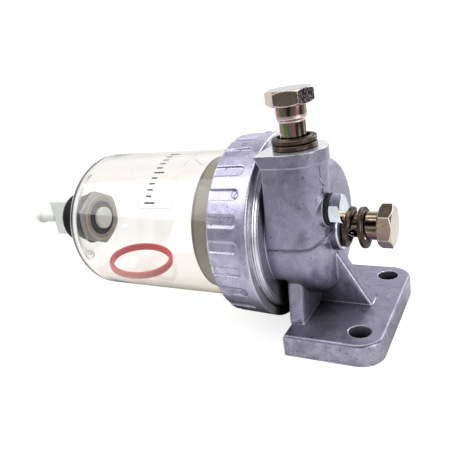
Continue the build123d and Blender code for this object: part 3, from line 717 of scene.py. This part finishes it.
def ridge(points, ups, width, height):
    """The points and faces of a thin raised line along points on a surface, with the surface's directions."""
    verts = []
    for index, (point, up) in enumerate(zip(points, ups)):
        ahead = points[min(index + 1, len(points) - 1)] - points[max(index - 1, 0)]
        side = ahead.cross(up).normalized() * width / 2
        taper = 0.3 if index in (0, len(points) - 1) else 1.0
        sunk = up * -0.08
        for across, lift in ((-1.0, 0.0), (-0.35, height * taper), (0.35, height * taper), (1.0, 0.0)):
            verts.append(tuple(point + side * across * taper + up * lift + sunk))
    last = len(verts)
    return verts, tube_faces(len(points), 4, closed=False) + [[3, 2, 1, 0], list(range(last - 4, last))]


def spread(places, step):
    """The same line of places with more points on it."""
    more = [Vector(places[0])]
    for start, end in zip(places, places[1:]):
        start, end = Vector(start), Vector(end)
        count = max(1, round((end - start).length / step))
        more += [start.lerp(end, index / count) for index in range(1, count + 1)]
    return more


def on_casting(places):
    """Where lines along +Y through places in X and Z meet the head, and the surface's directions there."""
    head = nodes["head_casting"]
    tree = BVHTree.FromObject(head, bpy.context.evaluated_depsgraph_get())
    points, ups = [], []
    for place in spread([(x, 0.0, z) for x, z in places], 0.7):
        start = Vector((place.x * MM, -0.09, place.z * MM))
        hit, up, _, _ = tree.ray_cast(start, Vector((0, 1, 0)))
        points.append(hit / MM)
        ups.append(up)
    return points, ups


def around_bowl(places):
    """Points on the bowl's wall through places in X and angle, and the wall's directions there."""
    points, ups = [], []
    for place in spread([(x, angle, 0.0) for x, angle in places], 1.5):
        points.append(Vector(on_cylinder(place.x, BOWL_R, place.y)))
        ups.append(Vector(outward(on_cylinder(0.0, 1.0, place.y))))
    return points, ups


def casting_marks():
    """The mould's parting seam across the boss, and two cracks of flash beside the pad."""
    parts = [ridge(*on_casting(SEAM), *SEAM_RIDGE)]
    parts += [ridge(*on_casting(crack), *CRACK_RIDGE) for crack in CRACKS]
    joined_piece("casting_seam", parts, "head", "cast_aluminium")


def bowl_mould_lines():
    """Hairlines of the bowl's mould: a square insert's edge and two arcs near the ring."""
    parts = [ridge(*around_bowl(INSERT_EDGE), *INSERT_RIDGE)]
    parts += [ridge(*around_bowl(arc), *ARC_RIDGE) for arc in ARCS]
    joined_piece("bowl_mould_lines", parts, "bowl", "clear_amber")


def level_marks():
    """A printed column of plain level ticks round the bowl, each a thin box."""
    half = math.degrees(TICK_WIDTH / 2 / BOWL_R)
    parts = []
    for index in range(TICK_COUNT):
        angle = TICK_FIRST + TICK_STEP * index
        length = TICK_LONG if index % 5 == 0 else TICK_SHORT
        verts = []
        for radius in (BOWL_R + PRINT_TOP, BOWL_R + PRINT_FOOT):
            for x in (TICK_X, TICK_X + length):
                verts += [on_cylinder(x, radius, angle + side * half) for side in (-1, 1)]
        parts.append((verts, BOX_FACES))
    joined_piece("bowl_level_marks", parts, "bowl", "print_black", smooth=False)


def round_mark(place, normal, radius, height, width=1.0, sides=24):
    """The points and faces of a shallow ring on a surface, with its outer foot, crest and inner foot."""
    normal = Vector(normal).normalized()
    across = normal.cross(Vector((0, 0, 1)) if abs(normal.z) < 0.9 else Vector((1, 0, 0))).normalized()
    along = normal.cross(across)
    verts = []
    rows = ((0.0, -0.05), (0.12, height), (0.3, height), (0.45, -0.05))
    for inset, lift in rows:
        for step in range(sides):
            turn = 2 * math.pi * step / sides
            round_it = (across * math.cos(turn) + along * math.sin(turn)) * (radius - inset * width)
            verts.append(tuple(Vector(place) + normal * lift + round_it))
    return verts, tube_faces(len(rows), sides, closed=True)


def ring_pin_marks():
    """The round marks that ejector pins left between the ring's grips."""
    parts = []
    for index in range(RING_PIN_REPEATS):
        for offset, depth, turn, radius in RING_PINS:
            place = on_cylinder(RING_X + offset, RING_R - depth, turn + 360 / RING_PIN_REPEATS * index)
            parts.append(round_mark(place, outward(place), radius, 0.1))
    joined_piece("ring_pin_marks", parts, "clamp_ring", "ring_aluminium")


def bowl_gate_mark():
    """The moulding's round gate mark, low on the bowl where its dome begins."""
    place = on_cylinder(GATE_X, BOWL_R, GATE_ANGLE)
    parts = [round_mark(place, outward(place), *ring) for ring in GATE_RINGS]
    joined_piece("bowl_gate_mark", parts, "bowl", "clear_amber")


# Floor, lights and camera

# Metal mirrors a studio that is white behind, like the floor, and dark in front and overhead.
# Its greys go by the cosine of the angle from straight behind, and they fade by height
STUDIO_BACK = (-0.25, 0.95, 0.15)
STUDIO_GREYS = ((-0.1, 0.04), (0.32, 0.35), (0.6, 1.0))
STUDIO_AMBIENT = 0.6
STUDIO_FADE = ((0.55, 1.0), (0.78, 0.15))

# Soft panels that only metal mirrors: a direction, the angles where each is full and where it ends, and its
# strength
STUDIO_PANELS = (
    ((0.857, -0.495, 0.139), 20, 34, 1.5),
    ((-0.5, 0.0, 0.866), 20, 36, 0.9),
    ((-0.242, -0.970, 0.0), 5, 28, 0.6),
)

# The floor's size in metres, its painted pool of light round the object, which only metal mirrors, by
# distance in millimetres and with a painted shadow right under the object, and its far side, by y and by x.
# The pool's centre lies to -X and it is drawn out along X
FLOOR_SIZE = 6
FLOOR_POOL = (
    (33, 0.05),
    (63, 1.0),
    (150, 0.95),
    (240, 0.58),
    (390, 0.27),
    (750, 0.1),
    (1200, 0.08),
    (2250, 0.5),
)
FLOOR_POOL_X = -80.0
FLOOR_POOL_SQUEEZE = 0.45
FLOOR_BEHIND = ((80, 0.0), (250, 0.95))
FLOOR_LEFT = ((340, 1.0), (600, 0.1))

# How bright the floor looks from the camera and through clear pieces, besides what the lamps add
FLOOR_SEEN = 0.78
FLOOR_SEEN_THROUGH = 0.96

# Lamps: place and size in metres, and watts
LAMP_TARGET = (-0.07, 0, 0.05)
LAMPS = {
    "key": ((-0.75, -0.45, 0.7), (0.8, 0.8), 5.0),
    "top": ((0.0, 0.1, 0.97), (0.6, 1.2), 5.0),
    "back": ((0.45, 0.7, 0.5), (0.7, 0.4), 2.2),
    "right": ((0.8, -0.25, 0.25), (0.35, 0.5), 1.8),
}


def floor():
    """A pale floor, white to the eye. Metal mirrors a painted pool of light round the object, with a painted
    shadow right under it, and its white far side.
    """
    bpy.ops.mesh.primitive_plane_add(size=FLOOR_SIZE, location=(0, 0, 0))
    plane = bpy.context.object
    plane.name = "floor"
    s = Surface("pale_floor")
    s.put("Roughness", 0.9)
    s.put("Specular IOR Level", 0.1)
    x, y, _, _ = s.axis_values()
    along = s.maths("MULTIPLY", s.maths("SUBTRACT", x, FLOOR_POOL_X), FLOOR_POOL_SQUEEZE)
    # A painted pool of light that only metal mirrors, with a painted shadow under the object
    pool = s.grade(s.length(along, y), 0, 3000, *FLOOR_POOL)
    far_side = s.both(s.grade(y, -500, 500, *FLOOR_BEHIND), s.grade(x, -1000, 1000, *FLOOR_LEFT))
    mirrored = s.either(pool, far_side)
    path = s.light_path()
    to_eye = s.maths("MULTIPLY", path["Is Camera Ray"], FLOOR_SEEN)
    through = s.maths("MULTIPLY", path["Is Transmission Ray"], FLOOR_SEEN_THROUGH)
    indirect = s.either(path["Is Glossy Ray"], path["Is Transmission Ray"])
    s.put("Base Color", s.mix(indirect, 0.42, 0.08))
    s.put("Emission Color", 1.0)
    s.put("Emission Strength", s.either(to_eye, through, s.both(path["Is Glossy Ray"], mirrored)))
    plane.data.materials.append(s.material)


def surroundings():
    """A pale studio: white to the eye and through clear pieces, and graded where metal mirrors it."""
    world = bpy.data.worlds.new("studio")
    bpy.context.scene.world = world
    world.use_nodes = True
    n = Nodes(world.node_tree)
    sky = n.tree.nodes.new("ShaderNodeTexCoord").outputs["Generated"]
    path = n.light_path()
    behind = n.grade(n.toward(sky, Vector(STUDIO_BACK).normalized()), -1, 1, *STUDIO_GREYS)
    height = n.node("ShaderNodeSeparateXYZ", {0: sky}, 2)
    mirrored = n.both(behind, n.ramp(height, *STUDIO_FADE))
    for direction, full, end, strength in STUDIO_PANELS:
        stops = ((math.cos(math.radians(end)), 0.0), (math.cos(math.radians(full)), strength))
        mirrored = n.either(mirrored, n.ramp(n.toward(sky, direction), *stops))
    shared = n.mix(path["Is Glossy Ray"], STUDIO_AMBIENT, mirrored)
    seen = n.either(path["Is Camera Ray"], path["Is Transmission Ray"])
    n.fill(n.tree.nodes["Background"].inputs["Color"], n.mix(seen, shared, 1.0))


def lamp(name, place, size, power):
    data = bpy.data.lights.new(name, "AREA")
    data.shape = "RECTANGLE"
    data.size, data.size_y = size
    data.energy = power
    light = bpy.data.objects.new(name, data)
    bpy.context.collection.objects.link(light)
    light.location = place
    light.rotation_euler = (Vector(LAMP_TARGET) - Vector(place)).to_track_quat("-Z", "Y").to_euler()


def camera():
    azimuth, elevation, roll = (math.radians(a) for a in (CAMERA_AZIMUTH, CAMERA_ELEVATION, CAMERA_ROLL))
    level = Vector((math.cos(azimuth), math.sin(azimuth), 0))
    away = Vector((math.sin(azimuth), -math.cos(azimuth), 0))
    back = away * math.cos(elevation) + Vector((0, 0, math.sin(elevation)))
    raised = back.cross(level)
    right = level * math.cos(roll) + raised * math.sin(roll)
    up = raised * math.cos(roll) - level * math.sin(roll)
    data = bpy.data.cameras.new("camera")
    data.lens = CAMERA_LENS
    data.sensor_width = CAMERA_SENSOR
    data.sensor_fit = "HORIZONTAL"
    data.clip_start = 0.01
    view = bpy.data.objects.new("camera", data)
    bpy.context.collection.objects.link(view)
    turn = Matrix((right, up, back)).transposed().to_4x4()
    view.matrix_world = Matrix.Translation(Vector(CAMERA_PLACE) * MM) @ turn
    bpy.context.scene.camera = view


dress_nodes()
bowl_shell()
bowl_mould_lines()
casting_marks()
level_marks()
ring_pin_marks()
bowl_gate_mark()
floor()
surroundings()
for name, settings in LAMPS.items():
    lamp(name, *settings)
camera()
bpy.context.scene.view_settings.view_transform = "Standard"
